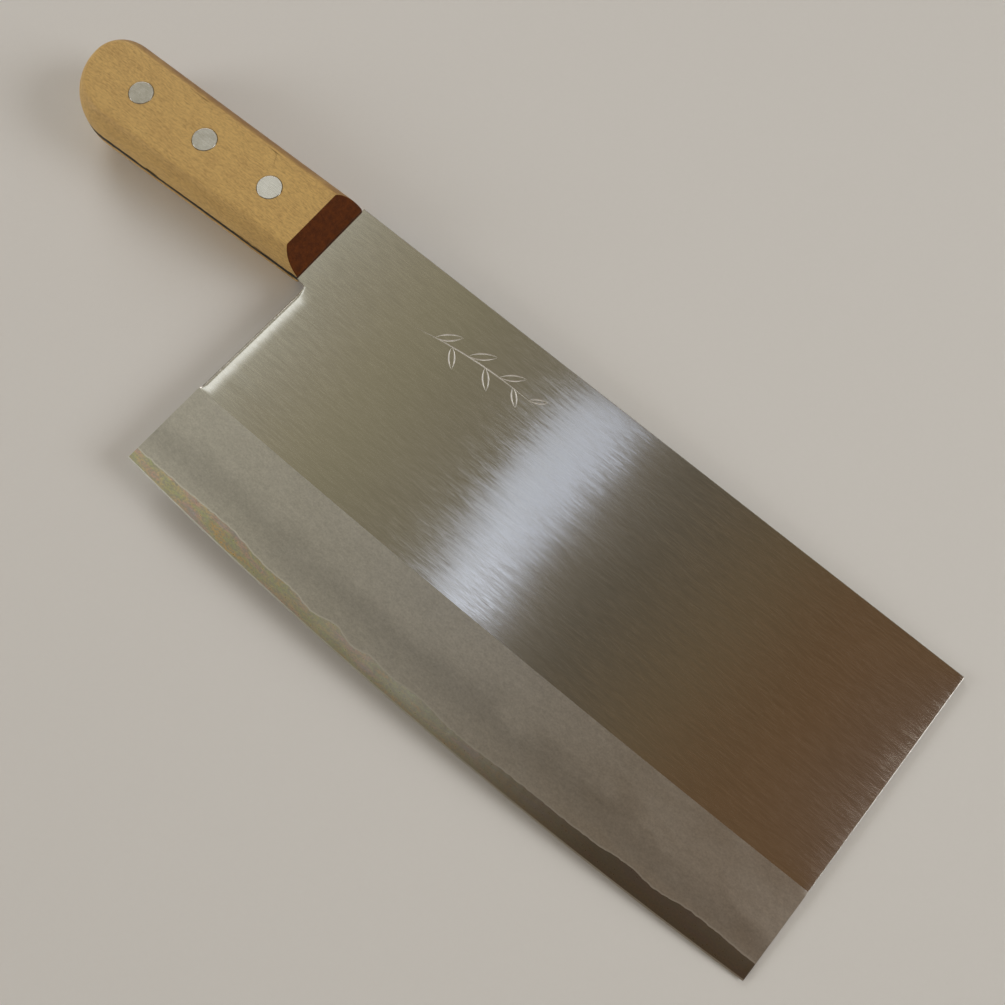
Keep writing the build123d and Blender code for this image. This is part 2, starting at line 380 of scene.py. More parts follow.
class HandleOutline:
    """The outline that the tang and both scales share."""

    def __init__(self, sizes):
        self.top_front = Vector((FRONT_X, SPINE_Y - sizes.front_depth))
        self.bottom_front = Vector((FRONT_X, self.top_front.y - sizes.front_width))
        butt_y = SPINE_Y - sizes.butt_depth
        self.spine_radius = sizes.butt_spine_radius
        self.edge_radius = sizes.butt_edge_radius
        self.spine_centre = Vector((BUTT_X + self.spine_radius, butt_y))
        self.edge_centre = Vector((BUTT_X + self.edge_radius, butt_y))
        self.spine_angle = self.touch_angle(self.spine_centre, self.spine_radius, self.top_front, 1)
        self.edge_angle = self.touch_angle(self.edge_centre, self.edge_radius, self.bottom_front, -1)

    @staticmethod
    def touch_angle(centre, radius, outside, side):
        """The angle at which a line from an outside point touches a circle."""
        away = outside - centre
        return math.atan2(away.y, away.x) + side * math.acos(radius / away.length)

    def points(self, inset=0.0, front=FRONT_X):
        """From the front's lower corner round the butt to the front's upper corner, moved in by inset."""
        edge_radius, spine_radius = self.edge_radius - inset, self.spine_radius - inset
        edge_touch = around(self.edge_centre, edge_radius, self.edge_angle)
        spine_touch = around(self.spine_centre, spine_radius, self.spine_angle)
        edge_start = self.where_line_meets(edge_touch, self.edge_angle, front)
        spine_end = self.where_line_meets(spine_touch, self.spine_angle, front)
        path = [edge_start.lerp(edge_touch, i / HANDLE_STEPS) for i in range(HANDLE_STEPS)]
        for i in range(BUTT_STEPS):
            angle = self.edge_angle - (self.edge_angle + math.pi) * i / BUTT_STEPS
            path.append(around(self.edge_centre, edge_radius, angle))
        for i in range(BUTT_STEPS):
            angle = math.pi - (math.pi - self.spine_angle) * i / BUTT_STEPS
            path.append(around(self.spine_centre, spine_radius, angle))
        return path + [spine_touch.lerp(spine_end, i / HANDLE_STEPS) for i in range(HANDLE_STEPS + 1)]

    @staticmethod
    def where_line_meets(touch, angle, front):
        """Where a side reaches the front, from the place where it leaves the butt's arc."""
        along = Vector((math.sin(angle), -math.cos(angle)))
        return touch + along * ((front - touch.x) / along.x)


class BladeShape:
    """The blade's outlines, and its right surface as a height over the middle plane."""

    def __init__(self, sizes, handle):
        self.sizes = sizes
        self.handle = handle
        self.neck = Vector((FRONT_X + sizes.choil_top, handle.bottom_front.y - NECK_DROP))
        self.heel = Vector((FRONT_X + sizes.choil_bottom, SPINE_Y - sizes.heel_depth))

    def share(self, x):
        return (x - FRONT_X) / (TIP_X - FRONT_X)

    def edge(self, x):
        depths = self.sizes.heel_depth, self.sizes.middle_depth, self.sizes.tip_depth
        return SPINE_Y - through_three(*depths, self.share(x))

    def shoulder(self, x):
        return self.edge(x) + self.sizes.cutting_bevel

    def grind(self, x):
        depths = self.sizes.grind_heel, self.sizes.grind_middle, self.sizes.grind_tip
        return SPINE_Y - through_three(*depths, self.share(x))

    def lamination(self, x):
        ragged = noise.noise(Vector((x / RAGGED_LENGTH, RAGGED_START, 0.0))) * RAGGED_HEIGHT
        return self.edge(x) + smooth_through(LAMINATION_LINE, min(1.0, self.share(x))) + ragged

    def seam(self, x):
        return self.lamination(x) + self.sizes.seam_width

    def buried(self, x):
        return self.lamination(x) + BURY_RUN

    def back(self, y):
        return self.heel.x + (self.neck.x - self.heel.x) * (y - self.heel.y) / (self.neck.y - self.heel.y)

    def half(self, x):
        tip_half = self.sizes.tip_thickness / 2
        return TANG_HALF + (tip_half - TANG_HALF) * min(1.0, max(0.0, self.share(x)))

    def surface(self, x, y):
        """Height of the blade's right surface over its middle plane."""
        sizes = self.sizes
        half, grind, edge, shoulder = self.half(x), self.grind(x), self.edge(x), self.shoulder(x)
        land = sizes.shoulder_thickness / 2
        if y <= shoulder:
            return land * max(0.0, y - edge) / sizes.cutting_bevel
        if y < grind:
            return half + (land - half) * (grind - y) / (grind - shoulder)
        fallen = round_over(SPINE_Y - y, sizes.spine_round, sizes.spine_round)
        fallen += round_over(TIP_X - x, TIP_ROUND, TIP_ROUND)
        if y < self.neck.y:
            fade = ease(y, grind, grind + CHOIL_RUN_OUT) * ease(self.neck.y - y, 0.0, CHOIL_RUN_IN)
            run_in = x - self.back(y)
            fallen += fade * roll_off(run_in, sizes.choil_run, sizes.choil_ease)
            fallen += fade * round_over(run_in, sizes.choil_round, sizes.choil_round)
        return half - fallen

    def core(self, x, y):
        """Height of the hard core: full along the tang, bare below the lamination line, thin between."""
        if x < FRONT_X + FRONT_STEP / 2:
            return TANG_HALF
        surface, above = self.surface(x, y), y - self.lamination(x)
        if above <= TINY:
            return surface
        return surface + (min(surface, CORE_SHEET) - surface) * min(1.0, above / BURY_RUN)

    def meeting(self, curve):
        """Where a curve of x meets the blade's back."""
        x = self.heel.x
        for _ in range(MEETING_ROUNDS):
            x = self.back(curve(x))
        return Vector((x, curve(x)))

    def along(self, curve, step):
        """Points of a curve of x, from the blade's back to its tip."""
        return [Vector((x, curve(x))) for x in spread(self.meeting(curve).x, TIP_X, step)]

    def across(self, x, low):
        """A line across the blade, from low up to the spine."""
        return [Vector((x, y)) for y in spread(low, SPINE_Y, TIP_STEP)]

    def neck_corner(self):
        """The rounded inner corner under the neck, from the neck to the blade's back."""
        radius = self.sizes.neck_radius
        to_front = (self.handle.bottom_front - self.neck).normalized()
        to_heel = (self.heel - self.neck).normalized()
        half_angle = to_front.angle(to_heel) / 2
        centre = self.neck + (to_front + to_heel).normalized() * (radius / math.sin(half_angle))
        start = self.neck + to_front * (radius / math.tan(half_angle))
        end = self.neck + to_heel * (radius / math.tan(half_angle))
        first = math.atan2(start.y - centre.y, start.x - centre.x)
        turn = math.atan2(end.y - centre.y, end.x - centre.x) - first
        turn = (turn + math.pi) % (2 * math.pi) - math.pi
        return [around(centre, radius, angle) for angle in spread(first, first + turn, NECK_STEP)]

    def outline(self, curves, tang):
        """Closed outline above the first curve, with a corner at each curve's ends."""
        path = self.along(curves[0], EDGE_STEP)
        stops = [curve(TIP_X) for curve in curves] + [SPINE_Y]
        path += [Vector((TIP_X, y)) for y in ladder(stops, TIP_STEP)[1:]]
        path += [Vector((x, SPINE_Y)) for x in spread(TIP_X, FRONT_X, SPINE_STEP)[1:]]
        path += list(reversed(self.handle.points())) if tang else [self.handle.bottom_front]
        corner = self.neck_corner()
        path += corner
        stops = [corner[-1].y] + [self.meeting(curve).y for curve in reversed(curves)]
        path += [Vector((self.back(y), y)) for y in ladder(stops, BACK_STEP)[1:-1]]
        return path

    def rounding_lines(self):
        """Lines that the rounded spine, tip and choil turn on."""
        lines = []
        for share in QUARTER_TURN:
            y, x = SPINE_Y - self.sizes.spine_round * share, TIP_X - TIP_ROUND * share
            lines.append([Vector((step, y)) for step in spread(FRONT_X, TIP_X, SPINE_STEP)])
            lines.append([Vector((x, step)) for step in ladder([self.grind(x), SPINE_Y], TIP_STEP)])
        low, high = self.meeting(self.grind).y, self.neck.y
        turns = [self.sizes.choil_run * share for share in CHOIL_TURN]
        for run_in in turns + [self.sizes.choil_round * share for share in QUARTER_TURN]:
            lines.append([Vector((self.back(y) + run_in, y)) for y in spread(low, high, BACK_STEP)])
        return lines


class Sprig:
    """Fine chisel strokes of a leafy sprig, as V grooves; each but the stem is mirrored to make a leaf."""

    def __init__(self, sizes, strokes):
        self.half = sizes.sprig_stroke / 2
        self.depth = sizes.sprig_depth
        self.middle = Vector((FRONT_X + sizes.sprig_along, SPINE_Y - sizes.sprig_down))
        self.strokes = [*strokes, *((start, end, -bend) for start, end, bend in strokes[1:])]

    def chord(self, stroke):
        """A stroke's start, its straight run to the end, and the direction across it."""
        start = self.middle + Vector(stroke[0])
        chord = self.middle + Vector(stroke[1]) - start
        return start, chord, Vector((-chord.y, chord.x)).normalized()

    def lines(self):
        """Both rims and the bottom of every stroke."""
        made = []
        for stroke in self.strokes:
            start, chord, across = self.chord(stroke)
            for side in (-1, 0, 1):
                line = []
                for t in spread(0.0, 1.0, STROKE_STEP / chord.length):
                    bow = 4 * t * (1 - t)
                    line.append(start + chord * t + across * (stroke[2] + side * self.half) * bow)
                made.append(line)
        return made

    def cut(self, x, y):
        """Depth of the strokes at a place."""
        deepest = 0.0
        for stroke in self.strokes:
            start, chord, across = self.chord(stroke)
            away = Vector((x, y)) - start
            t = away.dot(chord) / chord.length_squared
            if 0.0 < t < 1.0:
                bow = 4 * t * (1 - t)
                off = abs(away.dot(across) - stroke[2] * bow) / (self.half * bow)
                deepest = max(deepest, self.depth * min(1.0, 2 * bow) * (1 - off))
        return deepest


# ---- meshes


def circle(middle, radius):
    angles = [2 * math.pi * i / CIRCLE_STEPS for i in range(CIRCLE_STEPS)]
    return [Vector((middle.x + radius * math.cos(a), middle.y + radius * math.sin(a))) for a in angles]


def inside(point, loop):
    """Whether a point is inside a closed loop."""
    within = False
    for i, a in enumerate(loop):
        b = loop[i - 1]
        if (a.y > point.y) != (b.y > point.y):
            if point.x < (b.x - a.x) * (point.y - a.y) / (b.y - a.y) + a.x:
                within = not within
    return within


def triangulate(outer, holes=(), lines=()):
    """Corners and anticlockwise triangles of a flat region that keep the given loops and lines."""
    points, edges = [], []
    for loop in (outer, *holes):
        first = len(points)
        points += loop
        edges += [(first + i, first + (i + 1) % len(loop)) for i in range(len(loop))]
    for line in lines:
        first = len(points)
        points += line
        edges += [(first + i, first + i + 1) for i in range(len(line) - 1)]
    made = delaunay_2d_cdt([Vector(p) for p in points], edges, [], 0, MERGE, False)
    corners, triangles = made[0], []
    for face in made[2]:
        a, b, c = (corners[i] for i in face)
        area = (b - a).cross(c - a) / 2
        middle = (a + b + c) / 3
        if abs(area) > SLIVER and inside(middle, outer) and not any(inside(middle, hole) for hole in holes):
            triangles.append(tuple(face) if area > 0 else tuple(reversed(face)))
    return corners, triangles


def plate(name, flat, top, bottom, finish, side=1):
    """Closed plate between two height functions; side -1 puts it on the left of the blade."""
    corners, triangles = flat
    places, upper, lower = [], [], []
    for x, y in corners:
        high, low = top(x, y), bottom(x, y)
        upper.append(len(places))
        places.append((x, y, high))
        if high - low > MERGE:
            places.append((x, y, low))
        lower.append(len(places) - 1)
    faces, kinds, borders = [], [], {}
    for a, b, c in triangles:
        middle = (corners[a] + corners[b] + corners[c]) / 3
        kind = finish(middle.x, middle.y)
        faces += [(upper[a], upper[b], upper[c]), (lower[c], lower[b], lower[a])]
        kinds += [kind, kind]
        borders.update({(a, b): middle, (b, c): middle, (c, a): middle})
    for (a, b), middle in borders.items():
        wall = list(dict.fromkeys((lower[a], lower[b], upper[b], upper[a])))
        if (b, a) not in borders and len(wall) > 2:
            faces.append(tuple(wall))
            kinds.append(finish(middle.x, middle.y, True))
    return solid(name, [(x, y, z * side) for x, y, z in places], faces, kinds)


def solid(name, places, faces, kinds):
    """A new object from places over the blade's middle plane, welded, with its faces outwards."""
    mesh = bpy.data.meshes.new(name)
    mesh.from_pydata([(x * MM, y * MM, (MIDDLE_Z + z) * MM) for x, y, z in places], [], faces)
    mesh.polygons.foreach_set("material_index", kinds)
    work = bmesh.new()
    work.from_mesh(mesh)
    bmesh.ops.remove_doubles(work, verts=work.verts, dist=WELD)
    bmesh.ops.delete(work, geom=[v for v in work.verts if not v.link_faces], context="VERTS")
    bmesh.ops.recalc_face_normals(work, faces=work.faces)
    work.to_mesh(mesh)
    work.free()
    return placed(name, mesh)


def placed(name, data):
    """A new object in the scene."""
    made = bpy.data.objects.new(name, data)
    bpy.context.scene.collection.objects.link(made)
    return made


def dress(piece, finishes):
    """The finishes in order, and smooth shading that splits where faces meet sharply or change finish."""
    for material in finishes:
        piece.data.materials.append(material)
    work = bmesh.new()
    work.from_mesh(piece.data)
    for face in work.faces:
        face.smooth = True
    for edge in work.edges:
        if len(edge.link_faces) == 2:
            one, other = edge.link_faces
            bent = edge.calc_face_angle(0.0) > SHARP_ANGLE
            edge.smooth = not (bent or one.material_index != other.material_index)
    work.to_mesh(piece.data)
    work.free()


def rivet_middles():
    """Middle of each rivet, in the plane of the blade."""
    middles = []
    for place in RIVETS:
        low, high = at("rivet_stud_" + place)
        middles.append(((low + high) / 2).to_2d())
    return middles


def scale_sections(sizes):
    """Height and inset of each outline up a scale's rounded sides, and how far back its front is."""
    rise = HANDLE_TOP - TANG_HALF
    land = TANG_HALF + sizes.facet_land
    first = math.asin(sizes.facet_land / rise * math.sin(SIDE_TURN))
    sections = [(TANG_HALF, 0.0)]
    for turn in spread(first, SIDE_TURN, SIDE_STEP):
        inset = sizes.rim * (1 - math.cos(turn)) / (1 - math.cos(SIDE_TURN))
        sections.append((TANG_HALF + rise * math.sin(turn) / math.sin(SIDE_TURN), inset))
    slope = sizes.facet_run / (HANDLE_TOP - land)
    made = [(z, inset, slope * max(0.0, z - land)) for z, inset in sections]
    return made + [(HANDLE_TOP, sizes.rim + sizes.rim_soft, sizes.facet_run + sizes.rim_soft)]


def band(below, above, count):
    """Four-cornered faces between two closed rings, from the first corner of each."""
    turns = [(i, (i + 1) % count) for i in range(count)]
    return [(below + i, below + j, above + j, above + i) for i, j in turns]


def scale_solid(name, handle, sizes, rivets, side):
    """One wooden scale: rounded sides, flat face with rivet pockets, and a sloping front facet."""
    middles = rivet_middles()
    places, faces, kinds = [], [], []
    sections = scale_sections(sizes)
    for step, (z, inset, back) in enumerate(sections):
        path = handle.points(inset, FRONT_X - back)
        front_from = len(path) - 1
        path += [path[-1].lerp(path[0], i / FACET_STEPS) for i in range(1, FACET_STEPS)]
        count = len(path)
        places += [(p.x, p.y, z) for p in path]
        if step:
            faces += band((step - 1) * count, step * count, count)
            front = FACET if step < len(sections) - 1 else WOOD
            kinds += [front if i >= front_from else WOOD for i in range(count)]
    wide = rivets.head / 2 + rivets.pocket_gap
    narrow = rivets.barrel / 2 + rivets.pocket_gap
    for z, start, radius in ((TANG_HALF, 0, narrow), (HANDLE_TOP, len(places) - count, wide)):
        outer = [Vector(place[:2]) for place in places[start : start + count]]
        corners, triangles = triangulate(outer, [circle(middle, radius) for middle in middles])
        faces += [tuple(len(places) + i for i in triangle) for triangle in triangles]
        places += [(x, y, z) for x, y in corners]
    seat = HANDLE_TOP - rivets.head_depth
    steps = ((wide, HANDLE_TOP), (wide, seat), (narrow, seat), (narrow, TANG_HALF))
    for middle in middles:
        start = len(places)
        for radius, z in steps:
            places += [(p.x, p.y, z) for p in circle(middle, radius)]
        for low in range(start, len(places) - CIRCLE_STEPS, CIRCLE_STEPS):
            faces += band(low, low + CIRCLE_STEPS, CIRCLE_STEPS)
    kinds += [WOOD] * (len(faces) - len(kinds))
    return solid(name, [(x, y, z * side) for x, y, z in places], faces, kinds)


def soften(piece):
    """A small rounding on every sharp edge."""
    rounding = piece.modifiers.new("softened_edges", "BEVEL")
    rounding.width = SOFT_EDGE * MM
    rounding.segments = 2
    rounding.limit_method = "ANGLE"
    rounding.angle_limit = SOFT_ANGLE
    rounding.use_clamp_overlap = False
    rounding.harden_normals = True


# ---- finishes


def toned(colour, share):
    """A colour made darker or paler."""
    return tuple(min(1.0, share * part) for part in colour)


class Nodes:
    """Adds linked nodes to a node tree."""

    def __init__(self, tree):
        self.tree = tree
        self.tree.nodes.clear()

    def add(self, kind, inputs=None, **settings):
        made = self.tree.nodes.new("ShaderNode" + kind)
        for name, value in settings.items():
            setattr(made, name, value)
        for name, value in (inputs or {}).items():
            self.fill(made.inputs[name], value)
        return made

    def fill(self, socket, value):
        if isinstance(value, bpy.types.NodeSocket):
            self.tree.links.new(value, socket)
        elif socket.type == "RGBA":
            socket.default_value = (*value, 1.0)
        else:
            socket.default_value = value

    def ramp(self, value, stops):
        """A colour ramp through (place, colour) stops, which begins with two stops of its own."""
        made = self.add("ValToRGB", {"Fac": value})
        elements = made.color_ramp.elements
        for index, (place, tint) in enumerate(stops):
            element = elements[index] if index < 2 else elements.new(place)
            element.position, element.color = place, (*tint, 1.0)
        return made.outputs["Color"]


class Finish(Nodes):
    """Builds one procedural material; lengths are in millimetres."""

    def __init__(self, name):
        self.material = bpy.data.materials.new(name)
        self.material.use_nodes = True
        super().__init__(self.material.node_tree)
        self.place = self.add("TexCoord").outputs["Object"]

    def noise(self, size, detail=2.0, roughness=0.5, shift=0.0):
        """Noise whose features are about size = (x, y, z) millimetres."""
        scale = tuple(1 / (MM * s) for s in size)
        offset = tuple(share * shift + start for share, start in zip(NOISE_SHIFT, NOISE_START))
        placed = self.add("VectorMath", {0: self.place, 1: scale, 2: offset}, operation="MULTIPLY_ADD")
        inputs = {"Vector": placed.outputs[0], "Scale": 1.0, "Detail": detail, "Roughness": roughness}
        return self.add("TexNoise", inputs).outputs["Fac"]

    def range(self, value, low, high, to_low=0.0, to_high=1.0, curve="LINEAR"):
        inputs = {"Value": value, "From Min": low, "From Max": high, "To Min": to_low, "To Max": to_high}
        return self.add("MapRange", inputs, interpolation_type=curve).outputs["Result"]

    def varied(self, noise, low, high):
        """A value that goes from low to high over most of a noise."""
        return self.range(noise, 0.3, 0.7, low, high)

    def sum(self, *values):
        total = values[0]
        for value in values[1:]:
            total = self.add("Math", {0: total, 1: value}, operation="ADD").outputs[0]
        return total

    def times(self, a, b):
        return self.add("Math", {0: a, 1: b}, operation="MULTIPLY").outputs[0]

    def blend(self, *parts):
        """The sum of (value, share) parts."""
        return self.sum(*(self.times(value, share) for value, share in parts))

    def mix(self, share, a, b):
        return self.add("Mix", {0: share, 6: a, 7: b}, data_type="RGBA").outputs[2]

    def along(self, axis):
        """The place along one axis, in metres."""
        return self.add("SeparateXYZ", {0: self.place}).outputs[axis]

    def along_blade(self, stretch, to_low, to_high):
        """A value that changes over a stretch from the handle's front."""
        start, end = ((FRONT_X + distance) * MM for distance in stretch)
        return self.range(self.along("X"), start, end, to_low, to_high)

    def bump(self, height, depth):
        inputs = {"Height": height, "Distance": depth * MM, "Strength": 1.0}
        return self.add("Bump", inputs).outputs["Normal"]

    def tilted(self, along_x):
        """The surface's normal, leaned a little along X."""
        normal = self.add("NewGeometry").outputs["Normal"]
        lean = self.add("CombineXYZ", {"X": along_x}).outputs[0]
        total = self.add("VectorMath", {0: normal, 1: lean}, operation="ADD").outputs[0]
        return self.add("VectorMath", {0: total}, operation="NORMALIZE").outputs[0]

    def across_brushing(self):
        """Direction across the lengthwise brushing, for the stretched highlights of brushed metal."""
        kinds = {"vector_type": "VECTOR", "convert_from": "OBJECT", "convert_to": "WORLD"}
        return self.add("VectorTransform", {0: (0.0, 1.0, 0.0)}, **kinds).outputs[0]

    def done(self, **inputs):
        names = {name.replace("_", " "): value for name, value in inputs.items()}
        surface = self.add("BsdfPrincipled", names)
        self.add("OutputMaterial", {"Surface": surface.outputs[0]})
        return self.material

    def metal(self, colour, roughness, normal, **inputs):
        return self.done(Base_Color=colour, Metallic=1.0, Roughness=roughness, Normal=normal, **inputs)

    def brushed_metal(self, colour, roughness, normal, strength):
        """Metal whose highlights stretch across its lengthwise brushing."""
        return self.metal(colour, roughness, normal, Anisotropic=strength, Tangent=self.across_brushing())


def flat_steel(blade):
    """Steel brushed lengthwise, above the grind line."""
    f = Finish("flat_steel")
    fine = f.noise((5.0, 0.42, 90.0), roughness=0.7)
    threads = f.noise((16.0, 0.9, 90.0), roughness=0.6, shift=5.3)
    strokes = f.noise((31.0, 1.2, 90.0), shift=4.1)
    smudges = f.noise((42.0, 30.0, 90.0), shift=9.2)
    grit = f.noise((0.7, 0.5, 90.0), detail=1.0, shift=3.4)
    scratches = f.range(f.noise((9.0, 0.2, 90.0), detail=1.0, shift=7.7), 0.69, 0.78)
    tone = f.range(f.blend((fine, 0.6), (threads, 0.15), (grit, 0.15), (smudges, 0.1)), 0.36, 0.64)
    body = f.mix(tone, toned(blade.flat_colour, 0.88), toned(blade.flat_colour, 1.06))
    base = f.mix(f.times(scratches, 0.5), body, (0.86, 0.85, 0.82))
    rough = f.sum(f.range(fine, 0.35, 0.65, 0.12, 0.20), f.range(smudges, 0.35, 0.65, -0.01, 0.015))
    lean = f.sum(f.blend((fine, 0.9), (threads, 0.4), (strokes, 0.4)), -0.85)
    return f.brushed_metal(base, rough, f.tilted(f.times(lean, 0.05 * blade.hairline)), 0.9)


def bevel_steel(blade):
    """Matte steel of the wide bevel, with the fine grain of the stones and a darker band along it."""
    f = Finish("bevel_steel")
    grain = f.noise((0.6, 0.5, 9.0), detail=3.0, roughness=0.65)
    swirls = f.noise((2.6, 1.1, 9.0), detail=3.0, roughness=0.6, shift=6.3)
    clouds = f.noise((16.0, 7.0, 9.0), shift=3.1)
    middle = (SPINE_Y - DARK_BAND_DEPTH) * MM
    wander = f.varied(clouds, -DARK_BAND_WANDER * MM, DARK_BAND_WANDER * MM)
    away = f.add("Math", {0: f.sum(f.along("Y"), -middle, wander)}, operation="ABSOLUTE").outputs[0]
    dark_band = f.range(away, 0.0, DARK_BAND_RUN * MM, DARK_BAND_TONE, 1.0, "SMOOTHSTEP")
    tone = f.range(f.blend((grain, 0.55), (swirls, 0.35), (clouds, 0.1)), 0.36, 0.64)
    base = f.mix(tone, toned(blade.bevel_colour, 0.86), toned(blade.bevel_colour, 1.14))
    normal = f.bump(f.sum(grain, f.times(swirls, 0.6)), 0.006)
    return f.metal(f.mix(dark_band, (0.0, 0.0, 0.0), base), f.varied(clouds, 0.33, 0.37), normal)


def seam_steel(blade):
    """The pale line where the soft cladding runs out over the core, fading towards the tip."""
    f = Finish("seam_steel")
    grain = f.noise((0.5, 0.4, 0.4), detail=3.0)
    pale = f.mix(grain, toned(blade.bevel_colour, 1.05), (0.86, 0.85, 0.79))
    base = f.mix(f.along_blade(SEAM_FADES, 0.0, 0.85), pale, toned(blade.bevel_colour, 0.95))
    return f.metal(base, f.varied(grain, 0.36, 0.42), f.bump(grain, 0.003))


def core_steel(blade):
    """Bare hard steel under the lamination line, with heat tints towards the heel, darker at the tip."""
    f = Finish("core_steel")
    tint = f.noise((13.0, 2.8, 30.0), detail=1.5, shift=5.4)
    fleck = f.noise((0.9, 0.5, 30.0), detail=3.0, roughness=0.6)
    heat = f.along_blade(HEAT_FADES, 1.0, 0.25)
    tinted = f.mix(heat, blade.core_colour, f.ramp(tint, HEAT_TINTS))
    flecked = f.mix(f.range(fleck, 0.35, 0.65), tinted, toned(blade.core_colour, 0.9))
    base = f.mix(f.along_blade(CORE_DARKENS, 0.0, 0.6), flecked, (0.06, 0.04, 0.03))
    return f.metal(base, f.varied(fleck, 0.27, 0.33), f.bump(fleck, 0.0008))


def ground_steel(name, colour, roughness):
    """Rounded or ground steel that still shows fine lines."""
    f = Finish(name)
    lines = f.noise((6.0, 0.5, 0.5), detail=3.0)
    rough = f.varied(lines, roughness, roughness + 0.08)
    return f.metal(f.mix(lines, toned(colour, 0.88), colour), rough, f.bump(lines, 0.001))


def tang_steel(blade):
    """Steel showing between the scales, coloured near black as painted shade for the shadow and dark
    reflections there.
    """
    f = Finish("tang_steel")
    speckle = f.noise((1.5, 1.0, 0.5), detail=4.0, roughness=0.7)
    base = f.mix(speckle, toned(blade.tang_colour, 0.5), toned(blade.tang_colour, 1.5))
    rough = f.varied(speckle, 0.5, 0.7)
    return f.done(Base_Color=base, Roughness=rough, Specular_IOR_Level=0.3, Normal=f.bump(speckle, 0.03))


def scale_wood(handle):
    """Light close-grained wood, rubbed smooth, with lengthwise flecks and pores, and painted shade on the
    sides that face the spine.
    """
    f = Finish("scale_wood")
    growth = f.noise((70.0, 4.0, 6.0), shift=1.2)
    cloud = f.noise((9.0, 6.0, 6.0), detail=4.0, roughness=0.6, shift=8.3)
    mottle = f.noise((0.9, 0.45, 0.45), detail=3.0, roughness=0.6, shift=2.6)
    fleck = f.noise((1.9, 0.26, 0.26), roughness=0.6, shift=4.4)
    pores = f.range(f.noise((2.3, 0.18, 0.18), detail=1.0, shift=6.1), 0.60, 0.72)
    tone = f.range(f.blend((growth, 0.12), (cloud, 0.12), (mottle, 0.32), (fleck, 0.44)), 0.43, 0.59)
    body = f.mix(tone, handle.wood_light, handle.wood_dark)
    pored = f.mix(f.times(pores, 0.45), body, toned(handle.wood_dark, 0.5))
    # Painted shade: faces turned towards the spine side are darkened, in patches
    upwards = f.add("SeparateXYZ", {0: f.add("TexCoord").outputs["Normal"]}).outputs["Y"]
    spine_side_shade = f.times(f.range(upwards, 0.3, 0.8), f.range(cloud, 0.35, 0.6, 0.55, 0.8))
    base = f.mix(spine_side_shade, pored, handle.handled_wood)
    rough = f.varied(fleck, 0.45, 0.58)
    relief = f.bump(f.blend((fleck, 0.4), (pores, -1.0)), 0.012)
    return f.done(Base_Color=base, Roughness=rough, Specular_IOR_Level=0.3, Normal=relief)


def end_grain(handle):
    """Sealed end grain of the front facet, darker than the sides, partly its own colour and partly painted
    shade.
    """
    f = Finish("end_grain")
    rings = f.noise((1.0, 1.6, 4.0), detail=3.0, roughness=0.6, shift=3.0)
    pores = f.noise((0.25, 0.25, 0.25))
    tone = f.range(f.blend((rings, 0.6), (pores, 0.4)), 0.35, 0.65)
    base = f.mix(tone, toned(handle.end_grain, 1.5), toned(handle.end_grain, 0.7))
    rough = f.varied(pores, 0.42, 0.56)
    return f.done(Base_Color=base, Roughness=rough, Specular_IOR_Level=0.12, Normal=f.bump(pores, 0.01))


def rivet_metal(rivets):
    """Rivet heads ground flush with the wood, along the handle."""
    f = Finish("rivet_metal")
    lines = f.noise((7.0, 0.28, 0.28), roughness=0.6)
    stain = f.noise((2.2, 2.2, 2.2), shift=3.3)
    tone = f.range(f.blend((lines, 0.7), (stain, 0.3)), 0.36, 0.64)
    base = f.mix(tone, toned(rivets.metal, 0.9), rivets.metal)
    normal = f.tilted(f.varied(lines, -0.001, 0.001))
    return f.brushed_metal(base, f.varied(stain, 0.19, 0.25), normal, 0.7)


def floor_paper(stage):
    """Pale matte studio paper."""
    f = Finish("floor_paper")
    fibre = f.noise((1.2, 1.2, 1.2), detail=3.0)
    base = f.mix(fibre, toned(stage.floor, 0.98), stage.floor)
    return f.done(Base_Color=base, Roughness=f.varied(fibre, 0.8, 0.9), Specular_IOR_Level=0.2)


# ---- pieces


def blade_shape(scene):
    sizes = millimetres(scene.cleaver_blade)
    return BladeShape(sizes, HandleOutline(millimetres(scene.cleaver_handle)))


class CLEAVER_OT_core(bpy.types.Operator):
    """Hard middle layer of the blade, with the full tang"""

    bl_idname = "cleaver.core"
    bl_label = "Core and tang"

    def execute(self, context):
        blade, shape = context.scene.cleaver_blade, blade_shape(context.scene)
        rivets = millimetres(context.scene.cleaver_rivets)
        curves = (shape.edge, shape.shoulder, shape.lamination, shape.grind)
        fine = (shape.shoulder, shape.lamination, shape.buried)
        lines = [shape.along(curve, EDGE_STEP) for curve in fine]
        lines.append(shape.along(shape.grind, SPINE_STEP))
        neck_y = shape.handle.bottom_front.y - NECK_DROP
        lines += [shape.across(x, neck_y) for x in (FRONT_X, FRONT_X + FRONT_STEP)]
        holes = [circle(middle, rivets.barrel / 2 + rivets.hole_gap) for middle in rivet_middles()]
        flat = triangulate(shape.outline(curves, True), holes, lines)

        def finish(x, y, wall=False):
            if x < FRONT_X:
                return TANG
            if wall and y > shape.lamination(x):
                return CORE_WALL
            return CUTTING if y < shape.shoulder(x) else CORE

        piece = plate("blade_core", flat, shape.core, lambda x, y: -shape.core(x, y), finish)
        cutting = ground_steel("cutting_steel", (0.62, 0.62, 0.59), 0.36)
        wall = ground_steel("core_wall_steel", (0.42, 0.41, 0.38), 0.35)
        dress(piece, (core_steel(blade), cutting, tang_steel(blade), wall))
        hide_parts("core_steel")
        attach(piece, "root")
        return {"FINISHED"}


